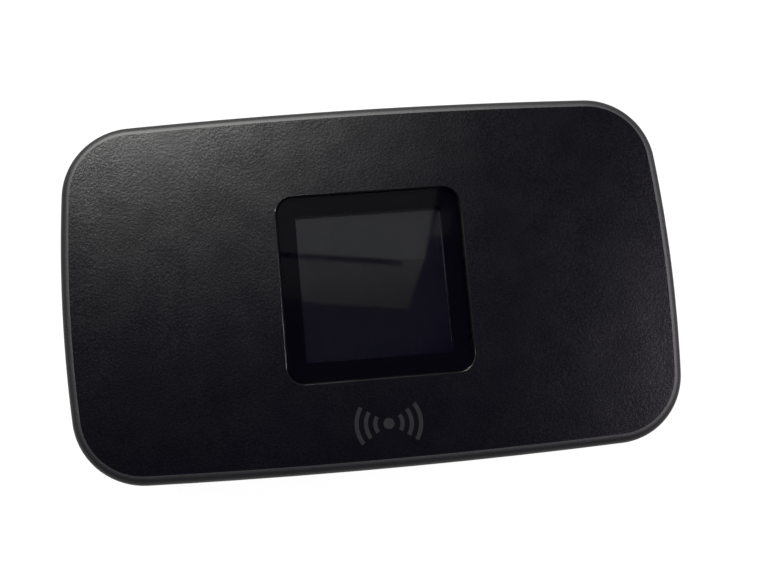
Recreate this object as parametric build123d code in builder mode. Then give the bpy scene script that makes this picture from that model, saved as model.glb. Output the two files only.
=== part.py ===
from build123d import *

import os

# A pocket mobile hotspot: a rounded plastic case with a square display, two side keys,
# a micro-B socket, and a battery and SIM card behind a removable back cover.
#
# Millimetres. The case lies on its back: +Z is out of the display, +X along the long side,
# +Y towards the edge with the keys. The origin is the middle of the resting face.

os.makedirs("parts", exist_ok=True)

# ---------------------------------------------------------------- driving sizes
LENGTH, WIDTH, HEIGHT = 108.0, 64.0, 14.2
END_BULGE = 1.9  # how far a short side bows out beyond its corners
SIDE_BULGE = 1.15  # the same for a long side
CORNER_RADIUS = 12.5
DOME_RADIUS = 2430.0  # the front face is very slightly domed
TOP_ROUND, BOTTOM_ROUND = 1.6, 4.5
PARTING_Z = 5.2  # front cover above, back cover below
PARTING_CHAMFER = 0.2
FRONT_WALL, BACK_WALL = 1.3, 1.2

# display stack, from the outside in
WINDOW_X, WINDOW_Y, WINDOW_CORNER = 32.3, 32.7, 2.9
WINDOW_THICK, WINDOW_GAP = 1.0, 0.15
WINDOW_TOP_Z = HEIGHT - 0.22
WINDOW_BOTTOM_Z = WINDOW_TOP_Z - WINDOW_THICK
TAPE_THICK = 0.15
LEDGE_TOP_Z = WINDOW_BOTTOM_Z - TAPE_THICK
LEDGE_THICK, LEDGE_OPENING = 0.73, 28.6
LEDGE_BOTTOM_Z = LEDGE_TOP_Z - LEDGE_THICK
GASKET_THICK = 0.15
LCD_X, LCD_Y, LCD_WALL, LCD_FLOOR, LCD_CLEAR = 30.0, 35.0, 0.8, 0.3, 0.1
LCD_TOP_Z = LEDGE_BOTTOM_Z - GASKET_THICK
LCD_THICK, LCD_GLASS_THICK = 2.1, 1.1
LCD_BOTTOM_Z = LCD_TOP_Z - LCD_THICK

# circuit board, and the chassis that carries it
BOARD_INSET, BOARD_BOTTOM_Z, BOARD_THICK = 3.3, 8.1, 0.8
BOARD_TOP_Z = BOARD_BOTTOM_Z + BOARD_THICK
CHASSIS_INSET, CHASSIS_WALL = 2.4, 1.2
DECK_Z, DECK_THICK, DECK_ROUND = 1.5, 1.0, 2.0
FLANGE_INSET, FLANGE_THICK = 1.45, 0.8
BAY_FLOOR_Z = BOARD_BOTTOM_Z - FLANGE_THICK

# battery and its bay
BATTERY_X, BATTERY_Y, BATTERY_Z = 64.0, 46.0, 5.6
BATTERY_BOTTOM_Z, BATTERY_GAP = 1.6, 0.3
BAY_X, BAY_Y = BATTERY_X + 2 * BATTERY_GAP, BATTERY_Y + 2 * BATTERY_GAP
BAY_CENTRE_X, BAY_WALL, BAY_CORNER = -10.2, 1.0, 1.2
BATTERY_CAP = 3.2
BAY_LOW_X = BAY_CENTRE_X - BAY_X / 2
BATTERY_LOW_X = BAY_CENTRE_X - BATTERY_X / 2
TERMINALS, TERMINAL_PITCH = 3, 3.0

# SIM card beside the battery
POCKET_LOW_X, POCKET_HIGH_X, POCKET_Y = 23.3, 48.4, 18.0
SIM_X, SIM_Y, SIM_THICK, SIM_Z = 12.3, 8.8, 0.67, 7.0
SOCKET_LOW_X, SOCKET_X, SOCKET_Y, SOCKET_BOTTOM_Z = 24.0, 12.2, 10.6, 6.75
SIM_LOW_X = SOCKET_LOW_X + 0.8

# parts on the board's front: shield cans, antennas on their brackets, and the display's plug
SHIELD_X, SHIELD_Y, SHIELD_LONG, SHIELD_WIDE, SHIELD_HIGH = 29.8, 3.5, 31.0, 22.4, 1.6
ANTENNA_X, ANTENNA_WIDE, ANTENNA_LONG, ANTENNA_TOP_Z = 46.9, 6.6, 26.0, 11.9
TRACE_WIDE, CLIP_Y, WIFI_ANTENNA_Y = 5.0, 6.0, 25.0
LCD_PLUG_X, LCD_PLUG_Y, LCD_PLUG_HIGH = 13.0, 2.8, 0.8

# side controls and the socket, all on one line half way up the board
PORT_Z = BOARD_BOTTOM_Z + BOARD_THICK / 2
KEY_X = 28.0
KEY_LONG, KEY_HIGH, KEY_GAP, KEY_PROUD = 12.0, 2.6, 0.15, 0.3
KEY_FLANGE_LONG, KEY_FLANGE_HIGH, KEY_FLANGE_THICK = 14.0, 4.2, 0.6
KEY_FLANGE_Y = 30.0  # outer face of the flange, just inside the front cover
PLUNGER_Y, PLUNGER_LONG, PLUNGER_WIDE, PLUNGER_HIGH = 29.0, 1.5, 2.0, 0.9
SWITCH_LONG, SWITCH_DEEP, SWITCH_HIGH, SWITCH_FRONT_Y = 4.4, 2.6, 1.9, 28.2
USB_WIDE, USB_HIGH, USB_DEEP, USB_MOUTH_Y, USB_WALL = 7.6, 2.6, 5.4, -31.4, 0.25

# fasteners, and the pin hole beside the SIM card
SCREW_PLACES = [(-47.2, 16.5), (-47.2, -16.5), (45.5, 20.0), (45.5, -20.0)]
SCREW_RADIUS, SCREW_CLEAR, HEAD_RADIUS, HEAD_HIGH = 0.8, 0.15, 1.5, 0.9
COUNTERBORE_RADIUS, COUNTERBORE_DEEP = 1.75, 1.6
POST_RADIUS, BOSS_RADIUS, PILOT_RADIUS = 2.35, 2.1, 0.83
SCREW_TOP_Z, PILOT_TOP_Z = 11.6, 12.0
DRIVE_LONG, DRIVE_WIDE, DRIVE_DEEP = 1.7, 0.36, 0.5  # the cross in each screw's head
RESET_X, RESET_Y, RESET_HOLE_RADIUS, RESET_TUBE_RADIUS = 37.0, 15.0, 0.8, 1.7
RESET_TUBE_TOP_Z, RESET_BORE_RADIUS, RESET_PLUNGER_RADIUS = 5.3, 0.85, 0.75

# back cover
TONGUE_OUTER, TONGUE_INNER, TONGUE_TOP_Z = 1.4, 2.1, 6.2
TAB_TOP_Z, TAB_LONG, TAB_PLACE = 6.9, 6.0, 12.0
NOTCH_LONG, NOTCH_HIGH, NOTCH_DEEP = 9.0, 0.9, 0.9  # fingernail notch at the parting line
EXTRA = 2.0  # how far a cutting tool runs past what it cuts


# ---------------------------------------------------------------- shared shapes
def save(piece, name):
    """Label a finished piece and write it as its own STEP file."""
    piece.label = name
    export_step(piece, f"parts/{name}.step")


with BuildSketch() as footprint:
    corner_x, corner_y = LENGTH / 2 - END_BULGE, WIDTH / 2 - SIDE_BULGE
    with BuildLine():
        ThreePointArc((-corner_x, corner_y), (0, WIDTH / 2), (corner_x, corner_y))
        ThreePointArc((corner_x, corner_y), (LENGTH / 2, 0), (corner_x, -corner_y))
        ThreePointArc((corner_x, -corner_y), (0, -WIDTH / 2), (-corner_x, -corner_y))
        ThreePointArc((-corner_x, -corner_y), (-LENGTH / 2, 0), (-corner_x, corner_y))
    make_face()
    fillet(footprint.vertices(), CORNER_RADIUS)


def slab(inset, low_z, high_z):
    """The case's outline, shrunk by inset, as a plate between two heights."""
    with BuildPart() as plate:
        with BuildSketch(Plane.XY.offset(low_z)):
            add(footprint.sketch)
            offset(amount=-inset)
        extrude(amount=high_z - low_z)
    return plate.part


def ring(outer_inset, inner_inset, low_z, high_z):
    """A wall that follows the case's outline, between two insets and two heights."""
    with BuildPart() as wall:
        add(slab(outer_inset, low_z, high_z))
        add(slab(inner_inset, low_z, high_z), mode=Mode.SUBTRACT)
    return wall.part


def pillow(inset):
    """The closed shape of the whole case, shrunk by inset on every side."""
    with BuildPart() as shape:
        with BuildSketch(Plane.XY.offset(inset)):
            add(footprint.sketch)
            if inset:
                offset(amount=-inset)
        extrude(amount=HEIGHT - 2 * inset)
        with Locations((0, 0, HEIGHT - DOME_RADIUS)):
            Sphere(DOME_RADIUS - inset, rotation=(0, 90, 0), mode=Mode.INTERSECT)
        top_edges = shape.edges().filter_by_position(Axis.Z, HEIGHT - inset - 1.5, HEIGHT)
        fillet(top_edges, TOP_ROUND - inset)
        fillet(shape.edges().group_by(Axis.Z)[0], BOTTOM_ROUND - inset)
    return shape.part


def block(low, high):
    """A plain box between two corners."""
    size = [b - a for a, b in zip(low, high)]
    with BuildPart() as brick:
        with Locations(tuple(low)):
            Box(*size, align=(Align.MIN, Align.MIN, Align.MIN))
    return brick.part


def rods(radius, low_z, high_z, places):
    """Upright round rods at several places."""
    with BuildPart() as upright:
        with BuildSketch(Plane.XY.offset(low_z)):
            with Locations(*places):
                Circle(radius)
        extrude(amount=high_z - low_z)
    return upright.part


def frame_plate(outer, inner, low_z, high_z, corner):
    """A flat rectangular frame, centred on the display."""
    with BuildPart() as plate:
        with BuildSketch(Plane.XY.offset(low_z)):
            RectangleRounded(*outer, corner)
            Rectangle(*inner, mode=Mode.SUBTRACT)
        extrude(amount=high_z - low_z)
    return plate.part


outer_pillow = pillow(0)
front_hollow = pillow(FRONT_WALL)
back_hollow = pillow(BACK_WALL)
above_parting = block((-LENGTH, -WIDTH, PARTING_Z), (LENGTH, WIDTH, HEIGHT + EXTRA))
below_parting = block((-LENGTH, -WIDTH, -EXTRA), (LENGTH, WIDTH, PARTING_Z))


# ---------------------------------------------------------------- front cover
def side_plane(y, z=PORT_Z):
    """A sketch plane across Y, with its own X along +X and its own Y along +Z."""
    return Plane(origin=(0, y, z), x_dir=(1, 0, 0), z_dir=(0, -1, 0))


with BuildPart() as front_cover:
    add(outer_pillow)
    add(front_hollow, mode=Mode.SUBTRACT)
    add(above_parting, mode=Mode.INTERSECT)
    chamfer(front_cover.edges().group_by(Axis.Z)[0].sort_by(SortBy.LENGTH)[-8:], PARTING_CHAMFER)

    # the ledge that the window is stuck to, and the bosses that the screws bite in
    with BuildSketch(Plane.XY.offset(LEDGE_BOTTOM_Z)):
        RectangleRounded(WINDOW_X + 4.0, WINDOW_Y + 4.0, WINDOW_CORNER + 1.5)
    extrude(amount=LEDGE_THICK + 0.5)
    with BuildSketch(Plane.XY.offset(BOARD_TOP_Z)):
        with Locations(*SCREW_PLACES):
            Circle(BOSS_RADIUS)
    extrude(amount=HEIGHT - 1.0 - BOARD_TOP_Z)
    with BuildSketch(Plane.XY.offset(BOARD_TOP_Z)):
        with Locations(*SCREW_PLACES):
            Circle(PILOT_RADIUS)
    extrude(amount=PILOT_TOP_Z - BOARD_TOP_Z, mode=Mode.SUBTRACT)

    # the window's pocket and the opening behind it
    with BuildSketch(Plane.XY.offset(LEDGE_TOP_Z)):
        RectangleRounded(WINDOW_X + 2 * WINDOW_GAP, WINDOW_Y + 2 * WINDOW_GAP, WINDOW_CORNER + WINDOW_GAP)
    extrude(amount=EXTRA, mode=Mode.SUBTRACT)
    with BuildSketch(Plane.XY.offset(LEDGE_BOTTOM_Z - EXTRA)):
        Rectangle(LEDGE_OPENING, LEDGE_OPENING)
    extrude(amount=2 * EXTRA, mode=Mode.SUBTRACT)

    # slots for the two keys, and the mouth of the micro-B socket
    with BuildSketch(side_plane(WIDTH / 2 + EXTRA)):
        with Locations((KEY_X, 0), (-KEY_X, 0)):
            SlotOverall(KEY_LONG + 2 * KEY_GAP, KEY_HIGH + 2 * KEY_GAP)
    extrude(amount=EXTRA + 3.0, mode=Mode.SUBTRACT)
    with BuildSketch(side_plane(-WIDTH / 2 + 3.0)):
        RectangleRounded(USB_WIDE + 0.8, USB_HIGH + 0.8, 1.1)
    extrude(amount=EXTRA + 3.0, mode=Mode.SUBTRACT)
    with BuildSketch(side_plane(-WIDTH / 2 + 0.45)):
        RectangleRounded(USB_WIDE + 2.8, USB_HIGH + 1.6, 1.7)
    extrude(amount=EXTRA, mode=Mode.SUBTRACT)

    rim = front_cover.edges().filter_by_position(Axis.Z, WINDOW_TOP_Z + 0.05, HEIGHT)
    rim = rim.filter_by_position(Axis.X, -17, 17).filter_by_position(Axis.Y, -17, 17)
    chamfer(rim, 0.18)
save(front_cover.part, "front_cover")


# ---------------------------------------------------------------- display stack
with BuildPart() as display_window:
    with BuildSketch(Plane.XY.offset(WINDOW_BOTTOM_Z)):
        RectangleRounded(WINDOW_X, WINDOW_Y, WINDOW_CORNER)
    extrude(amount=WINDOW_THICK)
    chamfer(display_window.edges().group_by(Axis.Z)[-1], 0.12)
save(display_window.part, "display_window")

tape_outer = (WINDOW_X - 0.6, WINDOW_Y - 0.6)
tape_inner = (LEDGE_OPENING + 0.2, LEDGE_OPENING + 0.2)
save(frame_plate(tape_outer, tape_inner, LEDGE_TOP_Z, WINDOW_BOTTOM_Z, 2.6), "window_tape")

gasket_outer = (LCD_X - 0.2, LEDGE_OPENING + 3.0)
gasket_inner = (LCD_X - 2.6, LEDGE_OPENING - 1.2)
save(frame_plate(gasket_outer, gasket_inner, LCD_TOP_Z, LEDGE_BOTTOM_Z, 0.6), "display_gasket")

LCD_INSIDE_X, LCD_INSIDE_Y = LCD_X - 2 * LCD_WALL, LCD_Y - 2 * LCD_WALL
LCD_GLASS_Z = LCD_TOP_Z - LCD_GLASS_THICK
FLEX_WIDE, FLEX_THICK, FLEX_Z = 12.0, 0.15, LCD_GLASS_Z + 0.45
with BuildPart() as lcd_frame:
    with BuildSketch(Plane.XY.offset(LCD_BOTTOM_Z)):
        RectangleRounded(LCD_X, LCD_Y, 0.6)
    extrude(amount=LCD_THICK)
    with BuildSketch(Plane.XY.offset(LCD_BOTTOM_Z + LCD_FLOOR)):
        Rectangle(LCD_INSIDE_X, LCD_INSIDE_Y)
    extrude(amount=LCD_THICK, mode=Mode.SUBTRACT)
    with BuildSketch(Plane.XY.offset(LCD_GLASS_Z + 0.2)):
        with Locations((0, -LCD_Y / 2)):
            Rectangle(FLEX_WIDE + 1.0, 4 * LCD_WALL)
    extrude(amount=EXTRA, mode=Mode.SUBTRACT)
save(lcd_frame.part, "lcd_frame")

with BuildPart() as lcd_backlight:
    with BuildSketch(Plane.XY.offset(LCD_BOTTOM_Z + LCD_FLOOR)):
        Rectangle(LCD_INSIDE_X - LCD_CLEAR, LCD_INSIDE_Y - LCD_CLEAR)
    extrude(amount=LCD_GLASS_Z - LCD_BOTTOM_Z - LCD_FLOOR)
save(lcd_backlight.part, "lcd_backlight")

with BuildPart() as lcd_panel:
    with BuildSketch(Plane.XY.offset(LCD_GLASS_Z)):
        Rectangle(LCD_INSIDE_X - LCD_CLEAR, LCD_INSIDE_Y - LCD_CLEAR)
    extrude(amount=LCD_GLASS_THICK)
save(lcd_panel.part, "lcd_panel")

CONNECTOR_TOP_Z = BOARD_TOP_Z + LCD_PLUG_HIGH
LCD_CONNECTOR_Y = -LCD_Y / 2 - 3.3
with BuildPart() as lcd_flex:
    panel_end_y = -(LCD_INSIDE_Y - LCD_CLEAR + FLEX_THICK) / 2
    with BuildSketch(Plane.YZ.offset(-FLEX_WIDE / 2)):
        with BuildLine():
            bend = FilletPolyline(
                (panel_end_y, FLEX_Z),
                (LCD_CONNECTOR_Y + 1.2, FLEX_Z),
                (LCD_CONNECTOR_Y + 0.6, CONNECTOR_TOP_Z + FLEX_THICK / 2),
                (LCD_CONNECTOR_Y - 1.4, CONNECTOR_TOP_Z + FLEX_THICK / 2),
                radius=0.4,
            )
            offset(bend, amount=FLEX_THICK / 2, kind=Kind.ARC)
        make_face()
    extrude(amount=FLEX_WIDE)
save(lcd_flex.part, "lcd_flex")

with BuildPart() as lcd_connector:
    with Locations((0, LCD_CONNECTOR_Y, BOARD_TOP_Z)):
        Box(LCD_PLUG_X, LCD_PLUG_Y, LCD_PLUG_HIGH, align=(Align.CENTER, Align.CENTER, Align.MIN))
    chamfer(lcd_connector.edges().group_by(Axis.Z)[-1], 0.15)
save(lcd_connector.part, "lcd_connector")

save(frame_plate((31.0, LCD_Y), (24.0, 28.0), BOARD_TOP_Z, LCD_BOTTOM_Z, 1.0), "display_holder")


# ---------------------------------------------------------------- circuit board
with BuildPart() as main_board:
    add(slab(BOARD_INSET, BOARD_BOTTOM_Z, BOARD_TOP_Z))
    with BuildSketch(Plane.XY.offset(BOARD_BOTTOM_Z)):
        with Locations(*SCREW_PLACES):
            Circle(SCREW_RADIUS + SCREW_CLEAR)
        with Locations((0, USB_MOUTH_Y + USB_DEEP / 2 - 0.5)):
            Rectangle(USB_WIDE + 0.4, USB_DEEP + 1.4)
        with Locations((KEY_X, SWITCH_FRONT_Y), (-KEY_X, SWITCH_FRONT_Y)):
            Rectangle(SWITCH_LONG + 0.3, 2 * SWITCH_DEEP + 0.3)
    extrude(amount=BOARD_THICK, mode=Mode.SUBTRACT)
save(main_board.part, "main_board")


def shield_can(centre_x, centre_y, size_x, size_y):
    """A thin steel lid, open at the bottom, with a row of vent holes."""
    wall, high = 0.2, SHIELD_HIGH
    with BuildPart() as can:
        with BuildSketch(Plane.XY.offset(BOARD_TOP_Z)):
            with Locations((centre_x, centre_y)):
                RectangleRounded(size_x, size_y, 0.8)
        extrude(amount=high)
        fillet(can.edges().group_by(Axis.Z)[-1], 0.3)
        with BuildSketch(Plane.XY.offset(BOARD_TOP_Z)):
            with Locations((centre_x, centre_y)):
                Rectangle(size_x - 2 * wall, size_y - 2 * wall)
        extrude(amount=high - wall, mode=Mode.SUBTRACT)
        with BuildSketch(Plane.XY.offset(BOARD_TOP_Z + high - 2 * wall)):
            with Locations((centre_x, centre_y)):
                with GridLocations(3.2, 3.2, 6, 8):
                    Circle(0.5)
        extrude(amount=3 * wall, mode=Mode.SUBTRACT)
    return can.part


save(shield_can(-SHIELD_X, -SHIELD_Y, SHIELD_WIDE, SHIELD_LONG), "modem_shield")
save(shield_can(SHIELD_X, SHIELD_Y, SHIELD_WIDE, SHIELD_LONG), "radio_shield")


def chip(centre_x, centre_y, size_x, size_y, high):
    """A moulded chip package, soldered on the board's front."""
    with BuildPart() as package:
        with Locations((centre_x, centre_y, BOARD_TOP_Z)):
            Box(size_x, size_y, high, align=(Align.CENTER, Align.CENTER, Align.MIN))
        chamfer(package.edges().group_by(Axis.Z)[-1], 0.12)
    return package.part


save(chip(-31.0, 2.0, 12.0, 12.0, 1.1), "modem_chip")
save(chip(-30.0, -12.0, 11.0, 8.0, 0.9), "memory_chip")
save(chip(28.0, 10.0, 9.0, 9.0, 1.0), "radio_chip")
save(chip(33.0, -4.0, 6.0, 6.0, 0.9), "power_chip")
save(chip(25.0, -3.0, 5.0, 4.0, 0.9), "amplifier_chip")

with BuildPart() as board_passives:
    top = (Align.CENTER, Align.CENTER, Align.MIN)
    with Locations((-SHIELD_X, -26.0, BOARD_TOP_Z), (SHIELD_X, 24.0, BOARD_TOP_Z)):
        with GridLocations(3.0, 2.2, 5, 2):
            Box(1.0, 0.5, 0.5, align=top)
    with Locations((SHIELD_X, -22.0, BOARD_TOP_Z), (-SHIELD_X, 20.0, BOARD_TOP_Z)):
        with GridLocations(4.6, 1.0, 3, 1):
            Box(2.5, 2.0, 1.0, align=top)
save(board_passives.part, "board_passives")


# ---------------------------------------------------------------- antennas
def antenna_bracket(side):
    """An open-bottomed plastic carrier that lifts an antenna off the board's end."""
    low_z, high_z, wall = BOARD_TOP_Z, ANTENNA_TOP_Z, 0.8
    with BuildPart() as bracket:
        with BuildSketch(Plane.XY.offset(low_z)):
            with Locations((side * ANTENNA_X, 0)):
                RectangleRounded(ANTENNA_WIDE, ANTENNA_LONG, 1.0)
        extrude(amount=high_z - low_z)
        fillet(bracket.edges().group_by(Axis.Z)[-1], 0.3)
        with BuildSketch(Plane.XY.offset(low_z)):
            with Locations((side * ANTENNA_X, 0)):
                Rectangle(ANTENNA_WIDE - 2 * wall, ANTENNA_LONG - 2 * wall)
        extrude(amount=high_z - low_z - wall, mode=Mode.SUBTRACT)
    return bracket.part


def antenna_trace(side):
    """A meandering copper foil on top of its bracket."""
    foil, runs, pitch, line = 0.1, 9, 2.6, 0.9
    with BuildPart() as trace:
        with BuildSketch(Plane.XY.offset(ANTENNA_TOP_Z)):
            with Locations((side * ANTENNA_X, 0)):
                with GridLocations(1, pitch, 1, runs):
                    Rectangle(TRACE_WIDE, line)
            for k in range(runs - 1):
                turn = 1 if k % 2 else -1
                turn_x = side * ANTENNA_X + turn * (TRACE_WIDE - line) / 2
                with Locations((turn_x, (k - (runs - 2) / 2) * pitch)):
                    Rectangle(line, pitch + line)
        extrude(amount=foil)
    return trace.part


save(antenna_bracket(-1), "main_antenna_bracket")
save(antenna_trace(-1), "main_antenna_foil")
save(antenna_bracket(1), "second_antenna_bracket")
save(antenna_trace(1), "second_antenna_foil")

with BuildPart() as antenna_clips:
    for clip_x in (-ANTENNA_X, ANTENNA_X):
        for clip_y in (-CLIP_Y, CLIP_Y):
            with BuildSketch(Plane.XZ.offset(-clip_y)):
                with BuildLine():
                    spring = FilletPolyline(
                        (clip_x - 1.2, BOARD_TOP_Z + 0.1),
                        (clip_x + 1.2, BOARD_TOP_Z + 0.1),
                        (clip_x - 0.9, BOARD_TOP_Z + 1.1),
                        (clip_x + 1.0, BOARD_TOP_Z + 2.0),
                        radius=0.3,
                    )
                    offset(spring, amount=0.08, kind=Kind.ARC)
                make_face()
            extrude(amount=1.2)
save(antenna_clips.part, "antenna_clips")

with BuildPart() as wifi_antenna:
    with BuildSketch(Plane.XZ.offset(-WIFI_ANTENNA_Y)):
        with Locations((0, BOARD_TOP_Z + 2.3)):
            Rectangle(22.0, 1.0)
        with Locations((-10.5, BOARD_TOP_Z + 1.4), (-7.0, BOARD_TOP_Z + 1.4)):
            Rectangle(1.0, 2.8)
    extrude(amount=0.25)
save(wifi_antenna.part, "wifi_antenna")


# ---------------------------------------------------------------- micro-B socket
def socket_corners(wide, high):
    """Corners of a micro-B socket's D-shaped mouth, its two lower corners cut away."""
    cut_x, cut_z = 1.0, 0.75
    half = [(wide / 2, high / 2), (wide / 2, -high / 2 + cut_z), (wide / 2 - cut_x, -high / 2)]
    return half + [(-x, z) for x, z in reversed(half)]


with BuildPart() as usb_shell:
    with BuildSketch(side_plane(USB_MOUTH_Y + USB_DEEP)) as shell_outer:
        Polygon(*socket_corners(USB_WIDE, USB_HIGH), align=None)
        fillet(shell_outer.vertices(), 0.35)
    extrude(amount=USB_DEEP)
    with BuildSketch(side_plane(USB_MOUTH_Y + USB_DEEP)) as shell_inner:
        Polygon(*socket_corners(USB_WIDE - 2 * USB_WALL, USB_HIGH - 2 * USB_WALL), align=None)
        fillet(shell_inner.vertices(), 0.2)
    extrude(amount=USB_DEEP, mode=Mode.SUBTRACT)
save(usb_shell.part, "usb_shell")

TONGUE_BLOCK = 1.5
with BuildPart() as usb_tongue:
    with BuildSketch(side_plane(USB_MOUTH_Y + USB_DEEP)):
        tongue_wide, tongue_high = USB_WIDE - 2 * USB_WALL - 0.1, USB_HIGH - 2 * USB_WALL - 0.1
        Polygon(*socket_corners(tongue_wide, tongue_high), align=None)
    extrude(amount=TONGUE_BLOCK)
    with BuildSketch(side_plane(USB_MOUTH_Y + USB_DEEP)):
        with Locations((0, 0.35)):
            Rectangle(3.9, 0.6)
    extrude(amount=USB_DEEP - 0.8)
save(usb_tongue.part, "usb_tongue")

with BuildPart() as usb_contacts:
    with BuildSketch(side_plane(USB_MOUTH_Y + USB_DEEP - TONGUE_BLOCK)):
        with Locations((0, 0)):
            with GridLocations(0.65, 1, 5, 1):
                Rectangle(0.3, 0.1)
    extrude(amount=USB_DEEP - TONGUE_BLOCK - 1.2)
save(usb_contacts.part, "usb_contacts")


# ---------------------------------------------------------------- side keys
def side_key(centre_x):
    """A key cap, its retaining flange behind the wall, and the rib that meets the switch."""
    with BuildPart() as key:
        with BuildSketch(side_plane(KEY_FLANGE_Y)):
            with Locations((centre_x, 0)):
                SlotOverall(KEY_LONG, KEY_HIGH)
        extrude(amount=-3.0)
        add(key_skin, mode=Mode.INTERSECT)
        fillet(key.faces().sort_by(Axis.Y)[-1].edges(), 0.2)
        with BuildSketch(side_plane(KEY_FLANGE_Y)):
            with Locations((centre_x, 0)):
                Rectangle(KEY_FLANGE_LONG, KEY_FLANGE_HIGH)
        extrude(amount=KEY_FLANGE_THICK)
        with BuildSketch(side_plane(KEY_FLANGE_Y - KEY_FLANGE_THICK)):
            with Locations((centre_x, 0)):
                Rectangle(PLUNGER_WIDE, PLUNGER_HIGH)
        extrude(amount=KEY_FLANGE_Y - KEY_FLANGE_THICK - PLUNGER_Y)
    return key.part


def tact_switch(centre_x):
    """The fixed body of an edge-mounted switch, with the hole that its plunger slides in."""
    with BuildPart() as body:
        with BuildSketch(side_plane(SWITCH_FRONT_Y)):
            with Locations((centre_x, 0)):
                Rectangle(SWITCH_LONG, SWITCH_HIGH)
        extrude(amount=SWITCH_DEEP)
        chamfer(body.edges().filter_by(Axis.Y), 0.2)
        with BuildSketch(side_plane(SWITCH_FRONT_Y)):
            with Locations((centre_x, 0)):
                Rectangle(PLUNGER_WIDE + 0.2, PLUNGER_HIGH + 0.2)
        extrude(amount=1.5, mode=Mode.SUBTRACT)
    return body.part


def switch_plunger(centre_x):
    """The moving button of an edge-mounted switch."""
    with BuildPart() as plunger:
        with BuildSketch(side_plane(PLUNGER_Y)):
            with Locations((centre_x, 0)):
                Rectangle(PLUNGER_WIDE, PLUNGER_HIGH)
        extrude(amount=PLUNGER_LONG)
    return plunger.part


key_skin = slab(-KEY_PROUD, 0, HEIGHT)
for key_name, key_x in (("power", KEY_X), ("menu", -KEY_X)):
    save(side_key(key_x), f"{key_name}_button")
    save(tact_switch(key_x), f"{key_name}_switch")
    save(switch_plunger(key_x), f"{key_name}_switch_plunger")


# ---------------------------------------------------------------- chassis
KEY_CUT_LONG, CUT_LOW_Z = KEY_FLANGE_LONG + 1.6, 6.1
with BuildPart() as chassis:
    add(slab(CHASSIS_INSET, DECK_Z, BOARD_BOTTOM_Z))
    fillet(chassis.edges().group_by(Axis.Z)[0], DECK_ROUND)
    add(slab(FLANGE_INSET, BAY_FLOOR_Z, BOARD_BOTTOM_Z))
    add(slab(CHASSIS_INSET + CHASSIS_WALL, DECK_Z + DECK_THICK, BOARD_BOTTOM_Z), mode=Mode.SUBTRACT)

    # walls of the battery bay and of the SIM pocket, with ribs out to the side walls
    bay_high_x = BAY_LOW_X + BAY_X
    solid_low = (BAY_LOW_X - BAY_WALL, -BAY_Y / 2 - BAY_WALL, DECK_Z)
    add(block(solid_low, (bay_high_x + BAY_WALL, BAY_Y / 2 + BAY_WALL, BOARD_BOTTOM_Z)))
    pocket_low = (POCKET_LOW_X - BAY_WALL, -POCKET_Y / 2 - BAY_WALL, DECK_Z)
    add(block(pocket_low, (POCKET_HIGH_X + BAY_WALL, POCKET_Y / 2 + BAY_WALL, BOARD_BOTTOM_Z)))
    rib_end_y = WIDTH / 2 - CHASSIS_INSET - CHASSIS_WALL - 0.2
    for rib_x in (-36.0, -14.0, 0.0, 14.0):
        for side in (-1, 1):
            near, far = sorted((side * BAY_Y / 2, side * rib_end_y))
            add(block((rib_x - 0.4, near, DECK_Z), (rib_x + 0.4, far, CUT_LOW_Z)))
    add(rods(POST_RADIUS, DECK_Z, BOARD_BOTTOM_Z, SCREW_PLACES))
    add(rods(RESET_TUBE_RADIUS, DECK_Z, RESET_TUBE_TOP_Z, [(RESET_X, RESET_Y)]))

    # the battery bay and the SIM pocket, both open downwards
    with BuildSketch(Plane.XY.offset(-EXTRA)):
        with Locations((BAY_CENTRE_X, 0)):
            RectangleRounded(BAY_X, BAY_Y, BAY_CORNER)
        with Locations(((POCKET_LOW_X + POCKET_HIGH_X) / 2, 0)):
            RectangleRounded(POCKET_HIGH_X - POCKET_LOW_X, POCKET_Y, BAY_CORNER)
    extrude(amount=BAY_FLOOR_Z + EXTRA, mode=Mode.SUBTRACT)
    sim_window_low = (SOCKET_LOW_X - 0.3, -SOCKET_Y / 2 - 0.3, BAY_FLOOR_Z - EXTRA)
    sim_window_high = (POCKET_HIGH_X, SOCKET_Y / 2 + 0.3, BOARD_BOTTOM_Z)
    add(block(sim_window_low, sim_window_high), mode=Mode.SUBTRACT)

    # the slot for the battery's connector, and finger scoops beside the battery
    add(block((BAY_LOW_X - 4.6, -5.4, 3.2), (BAY_LOW_X + 0.3, 5.4, BOARD_BOTTOM_Z)), mode=Mode.SUBTRACT)
    with BuildSketch(Plane.XY.offset(DECK_Z)):
        with Locations((BAY_CENTRE_X + 14.0, BAY_Y / 2)):
            SlotOverall(16.0, 4.6)
    extrude(amount=2.6, mode=Mode.SUBTRACT)

    # room for the keys, their switches and the socket
    for key_x in (KEY_X, -KEY_X):
        cut_low = (key_x - KEY_CUT_LONG / 2, BAY_Y / 2 + BAY_WALL + 1.2, CUT_LOW_Z)
        add(block(cut_low, (key_x + KEY_CUT_LONG / 2, WIDTH / 2, BOARD_BOTTOM_Z)), mode=Mode.SUBTRACT)
    usb_low = (-USB_WIDE / 2 - 0.6, -WIDTH / 2, PORT_Z - USB_HIGH / 2 - 0.3)
    usb_high = (USB_WIDE / 2 + 0.6, USB_MOUTH_Y + USB_DEEP + 0.5, BOARD_BOTTOM_Z)
    add(block(usb_low, usb_high), mode=Mode.SUBTRACT)

    # screw holes with sunk heads, and the pin hole over the reset switch
    low = DECK_Z - EXTRA
    add(rods(SCREW_RADIUS + SCREW_CLEAR, low, BOARD_BOTTOM_Z, SCREW_PLACES), mode=Mode.SUBTRACT)
    add(rods(COUNTERBORE_RADIUS, low, DECK_Z + COUNTERBORE_DEEP, SCREW_PLACES), mode=Mode.SUBTRACT)
    add(rods(RESET_HOLE_RADIUS, low, BOARD_BOTTOM_Z, [(RESET_X, RESET_Y)]), mode=Mode.SUBTRACT)
save(chassis.part, "chassis")

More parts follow.
